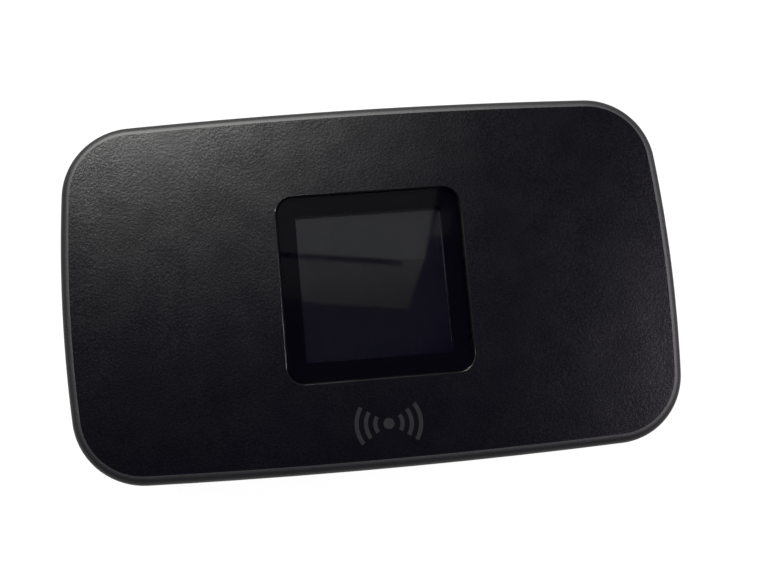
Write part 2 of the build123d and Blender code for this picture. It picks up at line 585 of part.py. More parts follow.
HEAD_Z = DECK_Z + COUNTERBORE_DEEP
with BuildPart() as chassis_screws:
    with BuildSketch(Plane.XY.offset(HEAD_Z - HEAD_HIGH)):
        with Locations(*SCREW_PLACES):
            Circle(HEAD_RADIUS)
    extrude(amount=HEAD_HIGH)
    chamfer(chassis_screws.edges().group_by(Axis.Z)[0], 0.2)
    with BuildSketch(Plane.XY.offset(HEAD_Z)):
        with Locations(*SCREW_PLACES):
            Circle(SCREW_RADIUS)
    extrude(amount=SCREW_TOP_Z - HEAD_Z)
    with BuildSketch(Plane.XY.offset(HEAD_Z - HEAD_HIGH)):
        with Locations(*SCREW_PLACES):
            Rectangle(DRIVE_LONG, DRIVE_WIDE)
            Rectangle(DRIVE_WIDE, DRIVE_LONG)
    extrude(amount=DRIVE_DEEP, mode=Mode.SUBTRACT)
save(chassis_screws.part, "chassis_screws")


# ---------------------------------------------------------------- SIM card and reset switch
SLOT_LOW_Z, SLOT_HIGH_Z = SIM_Z - 0.07, SIM_Z + SIM_THICK + 0.08
with BuildPart() as sim_socket_shell:
    socket_high_x = SOCKET_LOW_X + SOCKET_X
    shell_low = (SOCKET_LOW_X, -SOCKET_Y / 2, SOCKET_BOTTOM_Z)
    add(block(shell_low, (socket_high_x, SOCKET_Y / 2, SLOT_HIGH_Z)))
    slot_low = (SOCKET_LOW_X + 0.4, -SIM_Y / 2 - 0.1, SLOT_LOW_Z)
    add(block(slot_low, (socket_high_x + EXTRA, SIM_Y / 2 + 0.1, SLOT_HIGH_Z)), mode=Mode.SUBTRACT)
    thumb_low = (socket_high_x - 3.0, -2.6, SOCKET_BOTTOM_Z - EXTRA)
    add(block(thumb_low, (socket_high_x + EXTRA, 2.6, SLOT_LOW_Z)), mode=Mode.SUBTRACT)
save(sim_socket_shell.part, "sim_socket_shell")

with BuildPart() as sim_socket_base:
    base_low = (SOCKET_LOW_X, -SOCKET_Y / 2, SLOT_HIGH_Z)
    add(block(base_low, (socket_high_x, SOCKET_Y / 2, BOARD_BOTTOM_Z)))
save(sim_socket_base.part, "sim_socket_base")

with BuildPart() as sim_card:
    with BuildSketch(Plane.XY.offset(SIM_Z)):
        with Locations((SIM_LOW_X + SIM_X / 2, 0)):
            RectangleRounded(SIM_X, SIM_Y, 0.6)
        with Locations((SIM_LOW_X, -SIM_Y / 2)):
            Rectangle(2.4, 2.4, rotation=45, mode=Mode.SUBTRACT)
    extrude(amount=SIM_THICK)
save(sim_card.part, "sim_card")

RESET_SWITCH_LOW_Z, RESET_PLUNGER_LOW_Z = 6.4, 5.8
with BuildPart() as reset_switch:
    with Locations((RESET_X, RESET_Y, RESET_SWITCH_LOW_Z)):
        Box(3.4, 3.0, BOARD_BOTTOM_Z - RESET_SWITCH_LOW_Z, align=(Align.CENTER, Align.CENTER, Align.MIN))
    chamfer(reset_switch.edges().filter_by(Axis.Z), 0.3)
    with BuildSketch(Plane.XY.offset(RESET_SWITCH_LOW_Z)):
        with Locations((RESET_X, RESET_Y)):
            Circle(RESET_BORE_RADIUS)
    extrude(amount=1.2, mode=Mode.SUBTRACT)
save(reset_switch.part, "reset_switch")

with BuildPart() as reset_plunger:
    with BuildSketch(Plane.XY.offset(RESET_PLUNGER_LOW_Z)):
        with Locations((RESET_X, RESET_Y)):
            Circle(RESET_PLUNGER_RADIUS)
    extrude(amount=1.3)
    fillet(reset_plunger.edges().group_by(Axis.Z)[0], 0.15)
save(reset_plunger.part, "reset_plunger")


# ---------------------------------------------------------------- battery
CAP_HIGH_X = BATTERY_LOW_X + BATTERY_CAP
TERMINAL_Z, TERMINAL_HIGH = 5.6, 1.8

with BuildPart() as battery_cell:
    with BuildSketch(Plane.YZ.offset(CAP_HIGH_X)):
        with Locations((0, BATTERY_BOTTOM_Z + BATTERY_Z / 2)):
            RectangleRounded(BATTERY_Y, BATTERY_Z, 1.6)
    extrude(amount=BATTERY_X - BATTERY_CAP)
    fillet(battery_cell.edges().group_by(Axis.X)[-1], 0.5)
save(battery_cell.part, "battery_cell")

with BuildPart() as battery_cap:
    with BuildSketch(Plane.YZ.offset(BATTERY_LOW_X)):
        with Locations((0, BATTERY_BOTTOM_Z + BATTERY_Z / 2)):
            RectangleRounded(BATTERY_Y, BATTERY_Z, 1.6)
    extrude(amount=BATTERY_CAP)
    fillet(battery_cap.edges().group_by(Axis.X)[0], 0.4)
    with BuildSketch(Plane.YZ.offset(BATTERY_LOW_X)):
        with Locations((0, TERMINAL_Z)):
            with GridLocations(TERMINAL_PITCH, 1, TERMINALS, 1):
                Rectangle(1.8, TERMINAL_HIGH)
    extrude(amount=0.5, mode=Mode.SUBTRACT)
save(battery_cap.part, "battery_cap")

with BuildPart() as battery_terminals:
    with BuildSketch(Plane.YZ.offset(BATTERY_LOW_X + 0.2)):
        with Locations((0, TERMINAL_Z)):
            with GridLocations(TERMINAL_PITCH, 1, TERMINALS, 1):
                Rectangle(1.8, TERMINAL_HIGH)
    extrude(amount=0.3)
save(battery_terminals.part, "battery_terminals")

with BuildPart() as battery_connector:
    add(block((BAY_LOW_X - 4.4, -5.2, 3.4), (BAY_LOW_X - 0.1, 5.2, BOARD_BOTTOM_Z)))
    with BuildSketch(Plane.YZ.offset(BAY_LOW_X - 2.4)):
        with Locations((0, TERMINAL_Z)):
            with GridLocations(TERMINAL_PITCH, 1, TERMINALS, 1):
                Rectangle(1.4, 3.2)
    extrude(amount=EXTRA + 1.0, mode=Mode.SUBTRACT)
save(battery_connector.part, "battery_connector")

BLADE_TIP_X = BATTERY_LOW_X - 0.1
with BuildPart() as battery_springs:
    for k in range(TERMINALS):
        blade_y = (k - (TERMINALS - 1) / 2) * TERMINAL_PITCH
        with BuildSketch(Plane.XZ.offset(-blade_y + 0.4)):
            with BuildLine():
                blade = FilletPolyline(
                    (BAY_LOW_X - 2.3, TERMINAL_Z + 1.2),
                    (BAY_LOW_X - 0.6, TERMINAL_Z + 1.2),
                    (BLADE_TIP_X - 0.15, TERMINAL_Z),
                    (BAY_LOW_X - 1.2, TERMINAL_Z - 1.1),
                    radius=0.25,
                )
                offset(blade, amount=0.09, kind=Kind.ARC)
            make_face()
        extrude(amount=-0.8)
save(battery_springs.part, "battery_springs")


# ---------------------------------------------------------------- back cover
with BuildPart() as comb:
    add(slab(0, 0, TONGUE_TOP_Z))
    for tab_x in (TAB_PLACE, -TAB_PLACE):
        add(block((tab_x - TAB_LONG / 2, -WIDTH, 0), (tab_x + TAB_LONG / 2, WIDTH, TAB_TOP_Z)))
    for tab_y in (TAB_PLACE, -TAB_PLACE):
        add(block((-LENGTH, tab_y - TAB_LONG / 2, 0), (LENGTH, tab_y + TAB_LONG / 2, TAB_TOP_Z)))

with BuildPart() as snap_ring:
    add(ring(TONGUE_OUTER, TONGUE_INNER, PARTING_Z - 0.4, TAB_TOP_Z))
    add(comb.part, mode=Mode.INTERSECT)

with BuildPart() as back_cover:
    add(outer_pillow)
    add(back_hollow, mode=Mode.SUBTRACT)
    add(below_parting, mode=Mode.INTERSECT)
    chamfer(back_cover.edges().group_by(Axis.Z)[-1].sort_by(SortBy.LENGTH)[-8:], PARTING_CHAMFER)
    add(ring(BACK_WALL - 0.1, TONGUE_INNER, 3.9, PARTING_Z - 0.3))
    add(snap_ring.part)
    notch_low = (LENGTH / 2 - NOTCH_DEEP, -NOTCH_LONG / 2, PARTING_Z - NOTCH_HIGH)
    notch_high = (LENGTH, NOTCH_LONG / 2, PARTING_Z + EXTRA)
    add(block(notch_low, notch_high), mode=Mode.SUBTRACT)
save(back_cover.part, "back_cover")
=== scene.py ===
import math

import bpy
import bmesh
from mathutils import Euler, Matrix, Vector


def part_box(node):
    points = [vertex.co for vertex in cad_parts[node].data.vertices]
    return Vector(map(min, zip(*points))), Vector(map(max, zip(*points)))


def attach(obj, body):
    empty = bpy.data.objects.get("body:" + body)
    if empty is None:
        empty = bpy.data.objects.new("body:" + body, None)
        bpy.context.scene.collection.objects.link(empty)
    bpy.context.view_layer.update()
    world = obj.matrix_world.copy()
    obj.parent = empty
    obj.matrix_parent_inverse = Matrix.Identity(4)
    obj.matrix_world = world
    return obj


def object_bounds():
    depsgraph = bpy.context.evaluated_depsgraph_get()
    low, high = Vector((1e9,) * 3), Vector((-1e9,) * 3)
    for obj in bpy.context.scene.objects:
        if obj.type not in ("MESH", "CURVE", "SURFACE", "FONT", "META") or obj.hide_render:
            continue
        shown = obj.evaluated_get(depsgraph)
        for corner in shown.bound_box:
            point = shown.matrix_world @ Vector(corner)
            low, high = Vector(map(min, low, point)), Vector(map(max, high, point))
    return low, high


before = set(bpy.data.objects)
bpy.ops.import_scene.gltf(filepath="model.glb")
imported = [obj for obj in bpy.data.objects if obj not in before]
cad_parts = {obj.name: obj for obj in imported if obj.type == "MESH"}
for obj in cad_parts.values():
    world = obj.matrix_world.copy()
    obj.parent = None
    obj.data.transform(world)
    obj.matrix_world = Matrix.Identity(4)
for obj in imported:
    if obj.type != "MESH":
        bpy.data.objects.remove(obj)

CAD_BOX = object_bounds()
MM = 0.001

# ------------------------------------------------------------------ sizes (millimetres)
WINDOW_LOW, WINDOW_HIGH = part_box("display_window")
WINDOW_HALF = ((WINDOW_HIGH.x - WINDOW_LOW.x) / 2 / MM, (WINDOW_HIGH.y - WINDOW_LOW.y) / 2 / MM)
WINDOW_CORNER = 2.9
WINDOW_GAP = 0.15  # between the window and the case around it
ACTIVE_HALF = 12.95  # half of the display's active square
DOME_RADIUS = 2430.0
DOME_RISE = 0.22  # from the window's face to the top of the dome
DOME_TOP = WINDOW_HIGH.z / MM + DOME_RISE

# ranges of a noise texture that are stretched to the full effect: the second one for more contrast
NOISE_LOW, NOISE_HIGH = 0.3, 0.7
CLOUD_LOW, CLOUD_HIGH = 0.35, 0.65


def dome(x, y, lift):
    """Height above the flat back of a point that stands off the domed front face by lift."""
    return DOME_TOP - (x * x + y * y) / (2 * DOME_RADIUS) + lift


# ------------------------------------------------------------------ materials
def shade(color, factor, lift=0.0):
    """A lighter or darker colour, held at white."""
    return tuple(min(1.0, c * factor + lift) for c in color)


class Shader:
    """One procedural material: a Principled shader and the textures that feed it."""

    def __init__(self, name, color, roughness, metallic=0.0, **sockets):
        self.material = bpy.data.materials.new(name)
        self.material.use_nodes = True
        self.nodes = self.material.node_tree.nodes
        self.links = self.material.node_tree.links
        self.bsdf = self.nodes["Principled BSDF"]
        self.color = color
        self.roughness = roughness
        self.bsdf.inputs["Base Color"].default_value = (*color, 1)
        self.bsdf.inputs["Roughness"].default_value = roughness
        self.bsdf.inputs["Metallic"].default_value = metallic
        for socket, value in sockets.items():
            self.bsdf.inputs[socket.replace("_", " ")].default_value = value
        self.place = self.nodes.new("ShaderNodeTexCoord").outputs["Object"]
        self.bumped = None

    def node(self, kind, inputs=(), **settings):
        """Add a node, and link or set its inputs."""
        made = self.nodes.new(kind)
        for key, value in settings.items():
            setattr(made, key, value)
        for key, value in dict(inputs).items():
            if isinstance(value, bpy.types.NodeSocket):
                self.links.new(value, made.inputs[key])
            else:
                made.inputs[key].default_value = value
        return made

    def stretched(self, scale):
        """The place on the object, stretched along the axes."""
        return self.node("ShaderNodeMapping", {"Vector": self.place, "Scale": scale}).outputs[0]

    def noise(self, size, detail=2.0, rough=0.5, place=None):
        """Cloudy noise with features of about this size in millimetres, from 0 to 1."""
        inputs = {"Vector": place or self.place, "Scale": 1 / (size * MM)}
        inputs.update({"Detail": detail, "Roughness": rough})
        return self.node("ShaderNodeTexNoise", inputs).outputs["Fac"]

    def cells(self, size, feature="F1"):
        """Distance to the nearest of scattered points, about this many millimetres apart."""
        inputs = {"Vector": self.place, "Scale": 1 / (size * MM)}
        return self.node("ShaderNodeTexVoronoi", inputs, feature=feature).outputs["Distance"]

    def bricks(self, width, height, line, offset=0.5):
        """1 on the lines between bricks of this size in millimetres, 0 on the bricks."""
        inputs = {"Vector": self.place, "Scale": 1 / MM, "Mortar Size": line}
        inputs.update({"Brick Width": width, "Row Height": height})
        return self.node("ShaderNodeTexBrick", inputs, offset=offset).outputs["Fac"]

    def span(self, value, low, high, to_low=0.0, to_high=1.0):
        """Move a value from one range to another, held at its ends."""
        inputs = {"Value": value, "From Min": low, "From Max": high}
        inputs.update({"To Min": to_low, "To Max": to_high})
        return self.node("ShaderNodeMapRange", inputs).outputs[0]

    def between(self, low, high, noise):
        """Noise moved to the range from low to high."""
        return self.span(noise, NOISE_LOW, NOISE_HIGH, low, high)

    def math(self, operation, a, b=0.0):
        return self.node("ShaderNodeMath", {0: a, 1: b}, operation=operation).outputs[0]

    def mix(self, share, a, b):
        """Mix two values by a share from 0 to 1."""
        return self.node("ShaderNodeMix", {0: share, 2: a, 3: b}, data_type="FLOAT").outputs[0]

    def blend(self, share, a, b):
        """Mix two colours by a share from 0 to 1."""
        mix = self.node("ShaderNodeMix", {"Factor": share}, data_type="RGBA")
        for index, value in ((6, a), (7, b)):
            if isinstance(value, bpy.types.NodeSocket):
                self.links.new(value, mix.inputs[index])
            else:
                mix.inputs[index].default_value = (*value, 1)
        return mix.outputs[2]

    def edges(self, radius):
        """1 on sharp edges, 0 on flat faces, for wear."""
        flat, sharp = 0.97, 0.75  # cosine of the angle between the rounded surface and the real one
        bevel = self.node("ShaderNodeBevel", {"Radius": radius * MM}, samples=4)
        normal = self.node("ShaderNodeNewGeometry").outputs["Normal"]
        sides = {0: bevel.outputs[0], 1: normal}
        turned = self.node("ShaderNodeVectorMath", sides, operation="DOT_PRODUCT")
        return self.span(turned.outputs["Value"], flat, sharp)

    def set(self, socket, value):
        self.links.new(value, self.bsdf.inputs[socket])

    def bump(self, height, depth):
        """Raise the surface by up to this many millimetres, on top of earlier bumps."""
        inputs = {"Height": height, "Distance": depth * MM, "Strength": 1.0}
        if self.bumped:
            inputs["Normal"] = self.bumped
        self.bumped = self.node("ShaderNodeBump", inputs).outputs[0]
        self.set("Normal", self.bumped)

    def weather(self, cloud, variation, worn_color, wear, edge_radius, rough_swing=0.0):
        """Slow colour variation and paler edges, and gloss variation where a swing is given."""
        drift = self.span(self.noise(cloud, 3.0), CLOUD_LOW, CLOUD_HIGH)
        color = self.blend(drift, shade(self.color, 1 - variation), shade(self.color, 1 + variation))
        edge = self.math("MULTIPLY", self.edges(edge_radius), wear)
        self.set("Base Color", self.blend(edge, color, worn_color))
        if rough_swing:
            low, high = self.roughness - rough_swing, self.roughness + rough_swing
            self.set("Roughness", self.between(low, high, self.noise(cloud / 3)))


def case_plastic():
    """Black plastic with a fine grain. Flat faces are glossier than the round edges and the sides."""
    edge_roughness, edge_specular, flat_specular = 0.53, 0.33, 0.5
    flat_low, flat_high, speck_swing = 0.165, 0.18, 0.018  # roughness of the flat faces
    round_up, flat_up = 0.9965, 0.9993  # Z of the normal where the flat look starts and is full
    speck_size, pit_size = 0.26, 0.38
    s = Shader("case_plastic", (0.0003, 0.0003, 0.0009), 0.18)
    s.weather(cloud=14.0, variation=0.12, worn_color=(0.006, 0.006, 0.0065), wear=0.6, edge_radius=0.35)
    normal = s.node("ShaderNodeNewGeometry").outputs["Normal"]
    upright = s.math("ABSOLUTE", s.node("ShaderNodeSeparateXYZ", {"Vector": normal}).outputs["Z"])
    flat = s.span(upright, round_up, flat_up)
    pits = s.span(s.cells(pit_size, "SMOOTH_F1"), 0.15, 0.75)
    specks = s.noise(speck_size)
    patches = s.between(flat_low, flat_high, s.noise(5.0))
    swing = s.span(specks, CLOUD_LOW, CLOUD_HIGH, -speck_swing, speck_swing)
    s.set("Roughness", s.mix(flat, edge_roughness, s.math("ADD", patches, swing)))
    s.set("Specular IOR Level", s.mix(flat, edge_specular, flat_specular))
    s.bump(pits, depth=0.006)
    s.bump(specks, depth=0.0075)
    return s.material


def smooth_plastic(name, color, roughness, grain=0.3, wear=0.5, specular=0.5):
    """Moulded plastic with a faint texture and slightly worn edges."""
    s = Shader(name, color, roughness, Specular_IOR_Level=specular)
    s.weather(
        cloud=9.0, variation=0.10, worn_color=shade(color, 2.0, 0.01), wear=wear,
        edge_radius=0.2, rough_swing=0.05,
    )
    s.bump(s.noise(grain, 3.0, 0.6), depth=0.006)
    return s.material


def window_glass():
    """Clear hard-coated window, with faint wiping marks."""
    s = Shader("window_glass", (0.93, 0.94, 0.96), 0.02, Transmission_Weight=1.0, IOR=1.5)
    smears = s.noise(3.0, 4.0, 0.6, s.stretched((1.0, 0.25, 1.0)))
    s.set("Roughness", s.span(smears, 0.45, 0.75, 0.012, 0.05))
    s.bump(s.noise(6.0, 1.0), depth=0.0015)
    return s.material


def printed_black():
    """Dark ink on the back of the window."""
    s = Shader("printed_black", (0.0013, 0.0012, 0.0021), 0.4, Specular_IOR_Level=0.0)
    s.set("Roughness", s.between(0.3, 0.45, s.noise(1.2, 3.0)))
    s.bump(s.noise(0.2, 2.0), depth=0.001)
    return s.material


def display_glass():
    """Dark polarised display with its faint pixel grid."""
    s = Shader("display_glass", (0.0042, 0.0044, 0.0062), 0.04, IOR=2.2)
    pixel, line = 0.2, 0.012
    grid = s.bricks(pixel, pixel, line, offset=0.0)
    s.set("Base Color", s.blend(grid, (0.0038, 0.0036, 0.0042), (0.0028, 0.0027, 0.0031)))
    s.set("Roughness", s.between(0.03, 0.06, s.noise(8.0)))
    return s.material


def sheet_steel(name, color, roughness):
    """Tinned or blackened sheet with fine rolling lines."""
    across = (1.0, 14.0, 14.0)  # the lines run along X
    s = Shader(name, color, roughness, metallic=1.0)
    s.weather(
        cloud=5.0, variation=0.08, worn_color=shade(color, 1.3), wear=0.5,
        edge_radius=0.12, rough_swing=0.06,
    )
    s.bump(s.noise(0.5, 3.0, 0.6, s.stretched(across)), depth=0.004)
    return s.material


def plated(name, color, roughness):
    """Plated contact metal or rolled foil."""
    s = Shader(name, color, roughness, metallic=1.0)
    s.weather(
        cloud=1.6, variation=0.10, worn_color=shade(color, 1.15), wear=0.4,
        edge_radius=0.08, rough_swing=0.05,
    )
    s.bump(s.noise(0.12, 3.0), depth=0.003)
    return s.material


def foam_tape():
    """Fine closed-cell foam or rubber."""
    s = Shader("foam_tape", (0.012, 0.012, 0.012), 0.85)
    s.weather(
        cloud=2.0, variation=0.2, worn_color=(0.03, 0.03, 0.03), wear=0.3,
        edge_radius=0.1, rough_swing=0.05,
    )
    s.bump(s.cells(0.12), depth=0.03)
    return s.material


def solder_mask():
    """Green circuit board with copper tracks showing faintly under the mask."""
    s = Shader("solder_mask", (0.012, 0.075, 0.035), 0.32, Coat_Weight=0.3)
    track_length, track_pitch, track_width = 3.4, 0.7, 0.16
    tracks = s.bricks(track_length, track_pitch, track_width)
    lines = s.math("MULTIPLY", tracks, s.span(s.noise(4.0), 0.45, 0.55))
    s.set("Base Color", s.blend(lines, (0.010, 0.062, 0.030), (0.03, 0.15, 0.06)))
    s.set("Roughness", s.between(0.28, 0.4, s.noise(2.0)))
    s.bump(lines, depth=0.02)
    return s.material


def battery_sleeve():
    """Shrunk plastic sleeve with a soft sheen and faint lengthwise creases."""
    s = Shader("battery_sleeve", (0.035, 0.037, 0.042), 0.38, Coat_Weight=0.15)
    s.weather(
        cloud=12.0, variation=0.10, worn_color=(0.12, 0.12, 0.12), wear=0.6,
        edge_radius=0.3, rough_swing=0.06,
    )
    s.bump(s.noise(2.5, 3.0, 0.55, s.stretched((0.25, 1.0, 1.0))), depth=0.02)
    s.bump(s.noise(0.3, 2.0), depth=0.003)
    return s.material


def ink(name, color, roughness=0.5, specular=0.5):
    """Printed ink on plastic or card, slightly uneven."""
    s = Shader(name, color, roughness, Specular_IOR_Level=specular)
    thin, swing = 0.85, 0.06
    cover = s.span(s.noise(0.35, 3.0), CLOUD_LOW, CLOUD_HIGH)
    s.set("Base Color", s.blend(cover, shade(color, thin), color))
    s.set("Roughness", s.between(roughness - swing, roughness + swing, s.noise(0.6)))
    s.bump(s.noise(0.22, 3.0, 0.6), depth=0.008)
    return s.material


def milky_film():
    """Diffuser films of the backlight."""
    s = Shader("milky_film", (0.75, 0.76, 0.78), 0.4, Subsurface_Weight=0.1)
    s.weather(
        cloud=5.0, variation=0.04, worn_color=(0.85, 0.85, 0.85), wear=0.2,
        edge_radius=0.1, rough_swing=0.05,
    )
    s.bump(s.noise(0.2), depth=0.002)
    return s.material


CASE = case_plastic()
GLASS = window_glass()
PRINT = printed_black()
DISPLAY = display_glass()
STEEL = sheet_steel("tinned_steel", (0.56, 0.56, 0.54), 0.32)
DARK_STEEL = sheet_steel("blackened_steel", (0.06, 0.06, 0.065), 0.38)
GOLD = plated("gold_plate", (0.86, 0.60, 0.22), 0.25)
COPPER = plated("copper_foil", (0.72, 0.38, 0.22), 0.35)
FOAM = foam_tape()
BOARD = solder_mask()
SLEEVE = battery_sleeve()
FILM = milky_film()
KEY = smooth_plastic("key_plastic", (0.002, 0.002, 0.0023), 0.3, grain=0.25)
FRAME_PLASTIC = smooth_plastic("frame_plastic", (0.013, 0.013, 0.014), 0.45)
SOCKET_PLASTIC = smooth_plastic("socket_plastic", (0.018, 0.018, 0.019), 0.4, grain=0.2)
CHIP = smooth_plastic("chip_epoxy", (0.02, 0.02, 0.021), 0.5, grain=0.12)
CARD = smooth_plastic("card_plastic", (0.72, 0.73, 0.74), 0.35, grain=0.5, wear=0.2)
POLYIMIDE = smooth_plastic("polyimide", (0.42, 0.20, 0.04), 0.3, grain=0.4)
CERAMIC = smooth_plastic("ceramic", (0.33, 0.25, 0.17), 0.45, grain=0.15)
MARK_INK = ink("mark_ink", (0.0042, 0.0040, 0.0047), specular=0.06)
PALE_INK = ink("pale_ink", (0.42, 0.42, 0.43))
RIM = smooth_plastic("rim_plastic", (0.0015, 0.0015, 0.0018), 0.16, wear=0.3, specular=0.16)
# painted highlight: a paler strip on the display's right edge stands in for light catching the film's
# cut edge
GLINT_PAINT = smooth_plastic("film_glint_paint", (0.05, 0.05, 0.058), 0.3, wear=0.0)
LABEL = smooth_plastic("label_paper", (0.075, 0.078, 0.085), 0.5, grain=0.4, wear=0.3)

FINISHES = {
    CASE: ["front_cover", "back_cover"],
    GLASS: ["display_window"],
    DISPLAY: ["lcd_panel"],
    STEEL: [
        "lcd_frame", "modem_shield", "radio_shield", "wifi_antenna", "usb_shell", "sim_socket_shell",
    ],
    DARK_STEEL: ["chassis_screws"],
    GOLD: ["antenna_clips", "usb_contacts", "battery_terminals", "battery_springs"],
    COPPER: ["main_antenna_foil", "second_antenna_foil"],
    FOAM: ["window_tape", "display_gasket"],
    BOARD: ["main_board"],
    SLEEVE: ["battery_cell"],
    FILM: ["lcd_backlight"],
    KEY: ["power_button", "menu_button"],
    FRAME_PLASTIC: [
        "chassis", "display_holder", "main_antenna_bracket", "second_antenna_bracket", "battery_cap",
    ],
    SOCKET_PLASTIC: [
        "usb_tongue", "lcd_connector", "battery_connector", "sim_socket_base", "power_switch",
        "menu_switch", "power_switch_plunger", "menu_switch_plunger", "reset_switch", "reset_plunger",
    ],
    CHIP: ["modem_chip", "memory_chip", "radio_chip", "power_chip", "amplifier_chip"],
    CARD: ["sim_card"],
    POLYIMIDE: ["lcd_flex"],
    CERAMIC: ["board_passives"],
}
for finish, names in FINISHES.items():
    for name in names:
        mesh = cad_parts[name].data
        mesh.materials.clear()
        mesh.materials.append(finish)


# ------------------------------------------------------------------ mesh helpers
def new_piece(name, mesh, material, body, smooth=False):
    """Put a finished mesh in the scene, riding on a body and filling a material slot."""
    for face in mesh.polygons:
        face.use_smooth = smooth
    mesh.materials.append(material)
    piece = bpy.data.objects.new(name, mesh)
    bpy.context.scene.collection.objects.link(piece)
    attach(piece, body)


def rounded_rectangle(half_x, half_y, radius):
    """Points around a rectangle with round corners, counter-clockwise."""
    steps = 10  # in each corner
    points = []
    for k, (sx, sy) in enumerate(((1, 1), (-1, 1), (-1, -1), (1, -1))):
        for j in range(steps + 1):
            turn = (k + j / steps) * math.pi / 2
            x = sx * (half_x - radius) + radius * math.cos(turn)
            y = sy * (half_y - radius) + radius * math.sin(turn)
            points.append((x, y))
    return points


def arc(centre, radius, start, end, steps=24):
    """Points along an arc, angles in degrees."""
    turns = [math.radians(start + (end - start) * k / steps) for k in range(steps + 1)]
    return [(centre[0] + radius * math.cos(t), centre[1] + radius * math.sin(t)) for t in turns]


def ring_mesh(name, loops):
    """A closed ring from loops of (x, y, z) points in millimetres, each joined to the next."""
    mesh = bpy.data.meshes.new(name)
    count = len(loops[0])
    verts = [Vector(p) * MM for loop in loops for p in loop]
    faces = []
    for k in range(len(loops)):
        a, b = k * count, (k + 1) % len(loops) * count
        for j in range(count):
            n = (j + 1) % count
            faces.append((a + j, a + n, b + n, b + j))
    mesh.from_pydata(verts, [], faces)
    fix_normals(mesh)
    return mesh


def prism_mesh(name, outlines, low, high):
    """Closed plates from outlines. low and high give the two faces' heights at a point."""
    mesh = bpy.data.meshes.new(name)
    verts, faces = [], []
    for outline in outlines:
        first, count = len(verts), len(outline)
        verts += [Vector((x, y, low(x, y))) * MM for x, y in outline]
        verts += [Vector((x, y, high(x, y))) * MM for x, y in outline]
        faces.append(tuple(first + k for k in reversed(range(count))))
        faces.append(tuple(first + count + k for k in range(count)))
        for k in range(count):
            n = (k + 1) % count
            faces.append((first + k, first + n, first + count + n, first + count + k))
    mesh.from_pydata(verts, [], faces)
    fix_normals(mesh)
    return mesh


def fix_normals(mesh):
    """Point every face outwards."""
    work = bmesh.new()
    work.from_mesh(mesh)
    bmesh.ops.recalc_face_normals(work, faces=work.faces)
    work.to_mesh(mesh)
    work.free()


# ------------------------------------------------------------------ window and mark
def window_rim():
    """The small smooth round on the case where it meets the window."""
    radius, steps = 0.24, 6
    root = -0.45  # how deep the ring goes into the case
    stand, proud, land = 0.01, 0.008, 0.05  # into the window's gap, above the face, and past the round
    half_x, half_y = (half + WINDOW_GAP for half in WINDOW_HALF)
    corner = WINDOW_CORNER + WINDOW_GAP
    profile = [(-stand, root)]
    for k in range(steps + 1):
        turn = math.radians(90 * k / steps)
        profile.append((radius - radius * math.cos(turn) - stand, -radius + radius * math.sin(turn)))
    profile.append((radius + land, root))
    loops = []
    for out, drop in profile:
        outline = rounded_rectangle(half_x + out, half_y + out, corner + out)
        loops.append([(x, y, dome(x, y, drop + proud)) for x, y in outline])
    rim = ring_mesh("window_rim", loops)
    new_piece("window_rim", rim, RIM, "housing", smooth=True)


def window_print():
    """The black border printed on the back of the window."""
    inside, thick, inset, inner_corner = 0.03, 0.02, 0.1, 0.25
    top = WINDOW_LOW.z / MM + inside  # the whole border lies within the glass
    outer = rounded_rectangle(WINDOW_HALF[0] - inset, WINDOW_HALF[1] - inset, WINDOW_CORNER - inset)
    inner = rounded_rectangle(ACTIVE_HALF, ACTIVE_HALF, inner_corner)
    loops = [
        [(x, y, top) for x, y in outer],
        [(x, y, top) for x, y in inner],
        [(x, y, top - thick) for x, y in inner],
        [(x, y, top - thick) for x, y in outer],
    ]
    border = ring_mesh("window_print", loops)
    new_piece("window_print", border, PRINT, "housing")


def painted_film_glint():
    """The cut edge of the display's top film along the active area's right side, drawn on that side
    only and paler than the display: a painted highlight.
    """
    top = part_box("lcd_panel")[1].z / MM
    wide, inset = 0.10, 0.12
    right = ACTIVE_HALF - inset
    near, far = -12.7, 12.4  # its two ends along Y
    lifted, thick = 0.005, 0.12
    strip = [(right - wide, near), (right, near), (right, far), (right - wide, far)]
    mesh = prism_mesh("painted_film_glint", [strip], lambda x, y: top + lifted, lambda x, y: top + thick)
    new_piece("painted_film_glint", mesh, GLINT_PAINT, "housing")


def front_mark():
    """A plain broadcast symbol: a dot with three arcs on each side, printed below the window."""
    centre, dot_radius = (0.3, -24.4), 0.95
    width, spread = 0.72, 34  # of each arc, and its half angle in degrees
    first, pitch, arcs = 2.35, 1.6, 3
    sunk, proud = -0.01, 0.012  # the ink's two faces against the case's face
    dot_steps = 24
    outlines = [arc(centre, dot_radius, 0, 360 - 360 / dot_steps, dot_steps - 1)]
    for middle in (first + pitch * k for k in range(arcs)):
        for facing in (0, 180):
            inner = arc(centre, middle - width / 2, facing - spread, facing + spread)
            outer = arc(centre, middle + width / 2, facing - spread, facing + spread)
            outlines.append(outer + inner[::-1])
    low, high = (lambda x, y: dome(x, y, sunk)), (lambda x, y: dome(x, y, proud))
    mark = prism_mesh("front_mark", outlines, low, high)
    new_piece("front_mark", mark, MARK_INK, "housing")


window_rim()
window_print()
painted_film_glint()
front_mark()


# ------------------------------------------------------------------ under the cover
def bar(x, y, half_x, half_y):
    """Corners of a bar with its middle at (x, y)."""
    low_x, high_x, low_y, high_y = x - half_x, x + half_x, y - half_y, y + half_y
    return [(low_x, low_y), (high_x, low_y), (high_x, high_y), (low_x, high_y)]


def battery_signs():
    """Plus and minus signs printed beside the battery's outer terminals."""
    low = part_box("battery_cap")[0]
    inset, pitch, arm, line = 1.7, 3.0, 0.75, 0.13
    sunk, proud = 0.02, 0.012
    x = low.x / MM + inset
    bars = [bar(x, pitch, arm, line), bar(x, pitch, line, arm), bar(x, -pitch, arm, line)]
    face = low.z / MM
    mesh = prism_mesh("battery_signs", bars, lambda x, y: face - proud, lambda x, y: face + sunk)
    new_piece("battery_signs", mesh, PALE_INK, "battery")


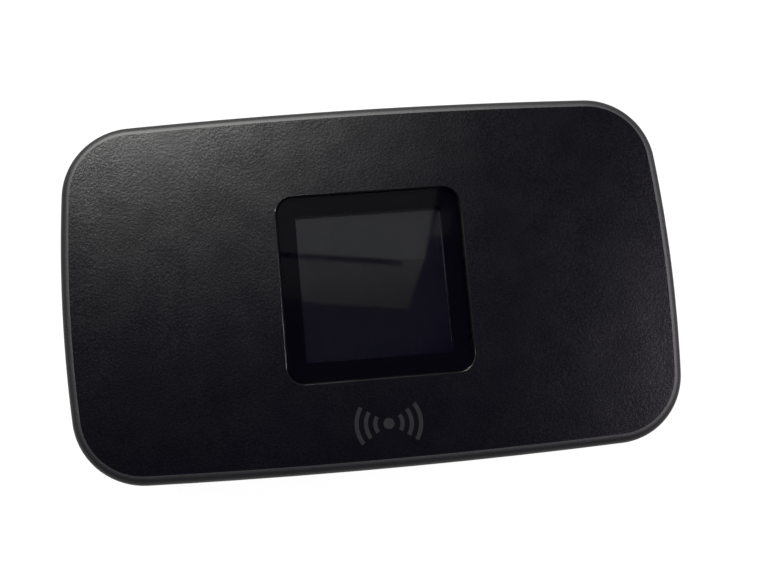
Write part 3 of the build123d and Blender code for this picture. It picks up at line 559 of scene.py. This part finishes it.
def battery_label():
    """A plain label with rounded corners, on the side of the battery that faces the cover."""
    low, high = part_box("battery_cell")
    end_margin, side_margin, corner = 3.0, 4.0, 1.5
    sunk, proud = 0.02, 0.03
    middle = ((low.x + high.x) / 2 / MM, (low.y + high.y) / 2 / MM)
    half_x, half_y = (high.x - low.x) / 2 / MM - end_margin, (high.y - low.y) / 2 / MM - side_margin
    outline = [(x + middle[0], y + middle[1]) for x, y in rounded_rectangle(half_x, half_y, corner)]
    face = low.z / MM
    mesh = prism_mesh("battery_label", [outline], lambda x, y: face - proud, lambda x, y: face + sunk)
    new_piece("battery_label", mesh, LABEL, "battery")


battery_signs()
battery_label()


# ------------------------------------------------------------------ studio
FLOOR_DROP = 28.0  # mm under the case: room for the battery and the back cover to come off downwards
FLOOR_GLOW = 0.96
DIM_GLOW = 0.13
PAINT_COLOR, PAINT_ROUGHNESS = (0.04, 0.04, 0.04), 0.9
CEILING = 614.0  # height of the overhead panels, mm
PANEL_END = -420.0  # the panels' left end, mm
WORLD_COLOR = (0.006, 0.005, 0.020)


def emitter(name, color, strength):
    """A plain glowing material that mirrors nothing."""
    material = bpy.data.materials.new(name)
    material.use_nodes = True
    shader = material.node_tree.nodes["Principled BSDF"]
    shader.inputs["Base Color"].default_value = (0, 0, 0, 1)
    shader.inputs["Emission Color"].default_value = (*color, 1)
    shader.inputs["Specular IOR Level"].default_value = 0.0
    shader.inputs["Emission Strength"].default_value = strength
    return material


def fade(material, near, near_strength, far, far_strength):
    """Let a glow change along Y between two places, given in millimetres."""
    nodes, links = material.node_tree.nodes, material.node_tree.links
    place = nodes.new("ShaderNodeSeparateXYZ")
    ramp = nodes.new("ShaderNodeMapRange")
    links.new(nodes.new("ShaderNodeTexCoord").outputs["Object"], place.inputs[0])
    links.new(place.outputs["Y"], ramp.inputs["Value"])
    ramp.inputs["From Min"].default_value = near * MM
    ramp.inputs["From Max"].default_value = far * MM
    ramp.inputs["To Min"].default_value = near_strength
    ramp.inputs["To Max"].default_value = far_strength
    links.new(ramp.outputs[0], nodes["Principled BSDF"].inputs["Emission Strength"])


def studio_paint(name, glow):
    """Dark matte paint with a white glow of its own, so that the backdrop stays plain."""
    paint = emitter(name, (1, 1, 1), glow)
    shader = paint.node_tree.nodes["Principled BSDF"]
    shader.inputs["Base Color"].default_value = (*PAINT_COLOR, 1)
    shader.inputs["Roughness"].default_value = PAINT_ROUGHNESS
    return paint


def studio_surface(name, profile, paint, closed=False):
    """A surface turned about the Z axis from (radius, height) points in metres."""
    around = 96
    verts, faces = [], []
    for radius, height in profile:
        for k in range(around):
            turn = 2 * math.pi * k / around
            verts.append(Vector((radius * math.cos(turn), radius * math.sin(turn), height)))
    for first in range(0, (len(profile) - 1) * around, around):
        for k in range(around):
            n = (k + 1) % around
            faces.append((first + k, first + around + k, first + around + n, first + n))
    if closed:
        faces.append(tuple(range(around)))
    mesh = bpy.data.meshes.new(name)
    mesh.from_pydata(verts, [], faces)
    for face in mesh.polygons:
        face.use_smooth = True
    mesh.materials.append(paint)
    surface = bpy.data.objects.new(name, mesh)
    bpy.context.scene.collection.objects.link(surface)
    surface.location.z = CAD_BOX[0][2] - FLOOR_DROP * MM
    return surface


def studio_room():
    """A pale floor that curves up into a low wall. Reflections show a dimmer wall in its place."""
    middle, flat = 0.3, 0.9  # radii of the floor's middle and of its rim
    bend, bend_angle, steps = 0.5, 80, 8
    wall_lean, wall_top = 0.08, 1.0
    dim_inset, dim_lift = 0.01, 0.005
    curve = []
    for k in range(steps + 1):
        turn = math.radians(bend_angle * k / steps)
        curve.append((flat + bend * math.sin(turn), bend - bend * math.cos(turn)))
    curve.append((flat + bend + wall_lean, wall_top))
    paint = studio_paint("studio_paint", FLOOR_GLOW)
    studio_surface("studio_floor", [(middle, 0.0), (flat, 0.0)], paint, closed=True)
    wall = studio_surface("studio_wall", curve, paint)
    wall.visible_glossy = wall.visible_transmission = False
    inside = [(radius - dim_inset, height + dim_lift) for radius, height in curve]
    dim = studio_surface("studio_dim_wall", inside, studio_paint("studio_dim_paint", DIM_GLOW))
    dim.visible_camera = dim.visible_diffuse = dim.visible_shadow = False


def panel(name, corners, color, strength):
    """A dim flat panel overhead, from corners in millimetres, that the camera never sees directly."""
    glow = emitter(name, color, strength)
    mesh = bpy.data.meshes.new(name)
    verts = [Vector((x, y, CEILING)) * MM for x, y in corners]
    mesh.from_pydata(verts, [], [tuple(range(len(corners)))])
    mesh.materials.append(glow)
    screen = bpy.data.objects.new(name, mesh)
    bpy.context.scene.collection.objects.link(screen)
    screen.visible_camera = False
    screen.visible_shadow = False
    return glow


def overhead_panels():
    """The lighter shapes that the window mirrors, with a dark gap between the far and the near one."""
    cool = (0.97, 0.98, 1)
    far = [(PANEL_END, 420), (PANEL_END, 176), (71, 106.6), (87, 106), (178, 420)]
    near = [(PANEL_END, 172), (PANEL_END, 147), (73, 73.5), (87, 105.5), (71, 106), (70.5, 102.5)]
    edge = [(PANEL_END, 146.5), (PANEL_END, 143.5), (73, 70.5), (73, 73)]
    patch = [(95, 123), (107, 123), (112, 141), (100, 141)]
    near_strength, near_dimmest = 0.088, 0.038
    panel("panel_far", far, cool, 0.122)
    near_glow = panel("panel_near", near, (0.97, 0.97, 1), near_strength)
    fade(near_glow, 74.0, near_dimmest, 106.0, near_strength)
    panel("panel_edge", edge, (1, 1, 1), 0.059)
    panel("panel_patch", patch, cool, 0.070)


def softbox(name, place, size, power, color):
    """A square area light that faces the part, in metres and watts."""
    light = bpy.data.lights.new(name, "AREA")
    light.shape = "SQUARE"
    light.size = size
    light.energy = power
    light.color = color
    box = bpy.data.objects.new(name, light)
    bpy.context.scene.collection.objects.link(box)
    box.location = place
    box.rotation_euler = (-Vector(place)).to_track_quat("-Z", "Y").to_euler()
    box.visible_camera = False


studio_room()
softbox("key_light", (-0.282, 0.877, 1.21), size=0.523, power=72.0, color=(1.0, 0.995, 0.965))
softbox("side_light", (1.0, 0.012, 1.21), size=0.234, power=30.0, color=(1.0, 0.92, 0.99))
overhead_panels()

world = bpy.data.worlds.new("studio_world")
world.use_nodes = True
world.node_tree.nodes["Background"].inputs[0].default_value = (*WORLD_COLOR, 1)
bpy.context.scene.world = world
bpy.context.scene.view_settings.view_transform = "Standard"

# ------------------------------------------------------------------ camera
CAMERA_TURN = (8.55, -4.39, -5.06)  # degrees about X, Y and Z, from looking straight down
CAMERA_AWAY = (1.60, -1.29, 192.25)  # from the window's middle, along the camera's own axes, mm
CAMERA_LENS, CAMERA_SENSOR = 51.56, 36.0  # mm
CLIP_START, CLIP_END = 0.005, 20.0

turn = Euler([math.radians(a) for a in CAMERA_TURN], "XYZ")
lens = bpy.data.cameras.new("camera")
lens.lens = CAMERA_LENS
lens.sensor_width = CAMERA_SENSOR
lens.clip_start = CLIP_START
lens.clip_end = CLIP_END
camera = bpy.data.objects.new("camera", lens)
bpy.context.scene.collection.objects.link(camera)
camera.rotation_euler = turn
camera.location = Vector((0, 0, WINDOW_HIGH.z)) + turn.to_matrix() @ (Vector(CAMERA_AWAY) * MM)
bpy.context.scene.camera = camera
